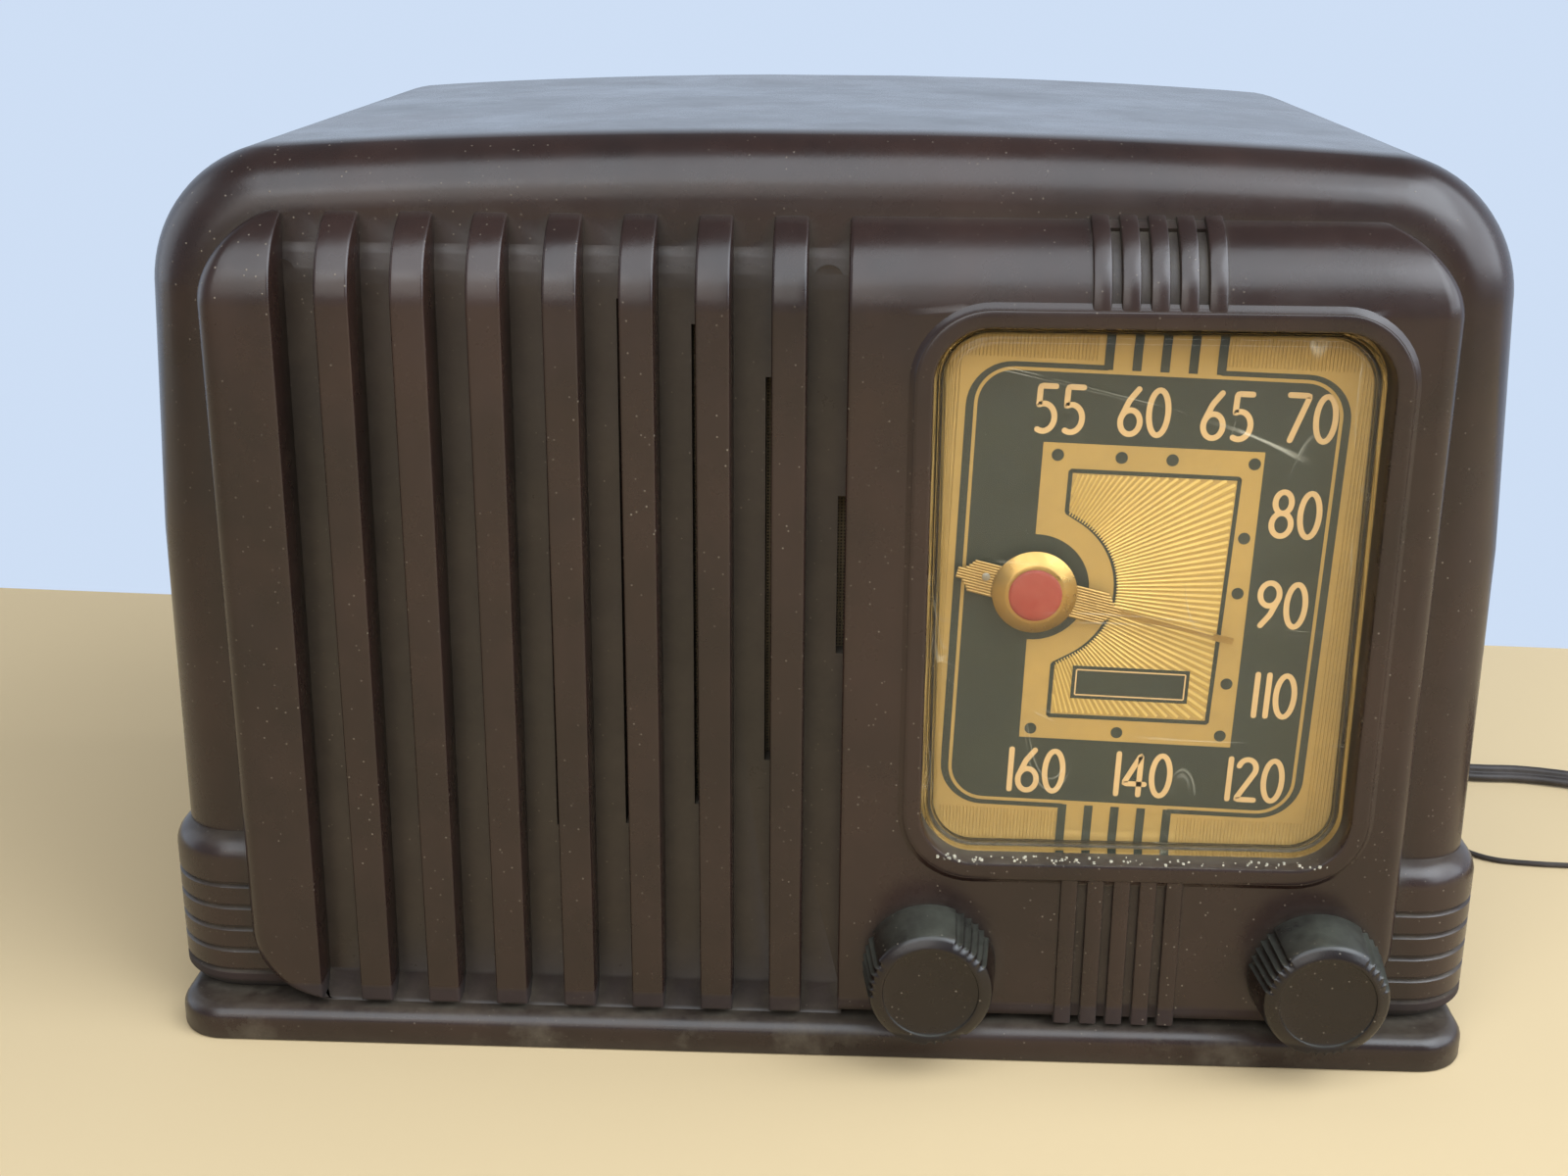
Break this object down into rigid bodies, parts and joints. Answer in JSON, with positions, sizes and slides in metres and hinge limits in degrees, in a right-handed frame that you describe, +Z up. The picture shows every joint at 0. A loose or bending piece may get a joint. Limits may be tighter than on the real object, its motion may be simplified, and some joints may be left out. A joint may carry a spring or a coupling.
{
  "type": "tabletop radio",
  "caption": "Brown moulded table radio: vertical grille bars, an upright dial with a pointer turned through a cord by the tuning knob, a volume knob, valves, speaker, rear cover and mains cord.",
  "frame": {"origin": "middle of the footprint at the surface that the plinth stands on, knobs included and free cords left out", "axes": "+X to the right as the dial is read, +Y to the back, +Z up"},
  "size_m": [0.4856, 0.2689, 0.2133],
  "materials": {
    "bakelite": "dark brown phenolic moulding, glossy on top, dulled and dusty low down",
    "knob_bakelite": "brown phenolic, worn satin",
    "clear_window": "clear moulded window, slightly yellowed and scratched",
    "printed_metal": "printed metal dial, dark green field with gold printing",
    "gold_metal": "thin gold-coloured stamping",
    "red_jewel": "glossy red cap",
    "grille_fabric": "dusty woven grille cloth",
    "card": "brown pressed fibre board",
    "cone_paper": "black-grey felted paper",
    "plated_steel": "dull plated steel",
    "steel_screw": "aged plated steel",
    "laminated_iron": "dark varnished laminations",
    "aluminium_can": "spun aluminium, dulled",
    "brass_shaft": "turned brass",
    "valve_glass": "clear glass envelope over a dark base",
    "dark_phenolic": "dark moulded phenolic",
    "waxed_parts": "tag board with waxed paper capacitors and resistors",
    "wound_wire": "enamelled and cotton-covered wire",
    "brown_rubber": "aged dark brown rubber",
    "lead_insulation": "cotton-covered wire",
    "cord_thread": "waxed dial cord",
    "plug_brass": "tarnished brass blades"
  },
  "bodies": {
    "radio": {"cabinet": "bakelite", "grille_cloth": "grille_fabric", "speaker_baffle": "card", "speaker_basket": "plated_steel", "speaker_cone": "cone_paper", "speaker_magnet": "plated_steel", "output_transformer": "laminated_iron", "dial_lens": "clear_window", "dial_plate": "printed_metal", "dial_backplate": "plated_steel", "dial_lamp_socket": "plated_steel", "dial_lamp": "valve_glass", "dial_cord": "cord_thread", "tuning_stator": "aluminium_can", "tuning_capacitor_frame": "plated_steel", "capacitor_bracket": "plated_steel", "tuning_bushing": "brass_shaft", "volume_control": "plated_steel", "chassis": "plated_steel", "if_can_input": "aluminium_can", "if_can_output": "aluminium_can", "filter_capacitor": "aluminium_can", "oscillator_coil": "wound_wire", "component_board": "waxed_parts", "rear_cover": "card", "loop_antenna": "wound_wire", "antenna_terminals": "card", "antenna_grommet": "brown_rubber", "cord_strain_relief": "brown_rubber", "power_cord": "brown_rubber", "power_cord_coil": "brown_rubber", "plug_body": "dark_phenolic", "plug_blade_left": "plug_brass", "plug_blade_right": "plug_brass", "antenna_lead": "lead_insulation", "antenna_lead_coil": "lead_insulation", "valve_rectifier": "valve_glass", "socket_rectifier": "dark_phenolic", "valve_output": "valve_glass", "socket_output": "dark_phenolic", "valve_detector": "valve_glass", "socket_detector": "dark_phenolic", "valve_if_amplifier": "valve_glass", "socket_if_amplifier": "dark_phenolic", "valve_converter": "valve_glass", "socket_converter": "dark_phenolic", "rear_screw_lower_left": "steel_screw", "rear_screw_lower_right": "steel_screw", "rear_screw_upper_left": "steel_screw", "rear_screw_upper_right": "steel_screw"},
    "dial_drive": {"pointer": "gold_metal", "pointer_hub": "gold_metal", "pointer_jewel": "red_jewel", "dial_drum": "plated_steel", "dial_cord_spring": "steel_screw", "tuning_rotor": "aluminium_can"},
    "tuning_control": {"tuning_knob": "knob_bakelite", "tuning_shaft": "brass_shaft"},
    "volume_knob_and_shaft": {"volume_knob": "knob_bakelite", "volume_shaft": "steel_screw"}
  },
  "joints": [
    {"name": "dial_turn", "type": "hinge", "parent": "radio", "child": "dial_drive", "pos_m": [0.0473, -0.0687, 0.1127], "axis": [0, 1, 0], "range_deg": [-103.8, 76.2]},
    {"name": "tuning_knob_turn", "type": "hinge", "parent": "radio", "child": "tuning_control", "pos_m": [0.1147, -0.0687, 0.0245], "axis": [0, 1, 0], "range_deg": [-794, 582.9]},
    {"name": "volume_knob_turn", "type": "hinge", "parent": "radio", "child": "volume_knob_and_shaft", "pos_m": [0.0264, -0.0687, 0.0245], "axis": [0, 1, 0], "range_deg": [0, 300]}
  ],
  "couplings": [
    {"joint": "tuning_knob_turn", "follows": "dial_turn", "ratio": 7.6486}
  ]
}
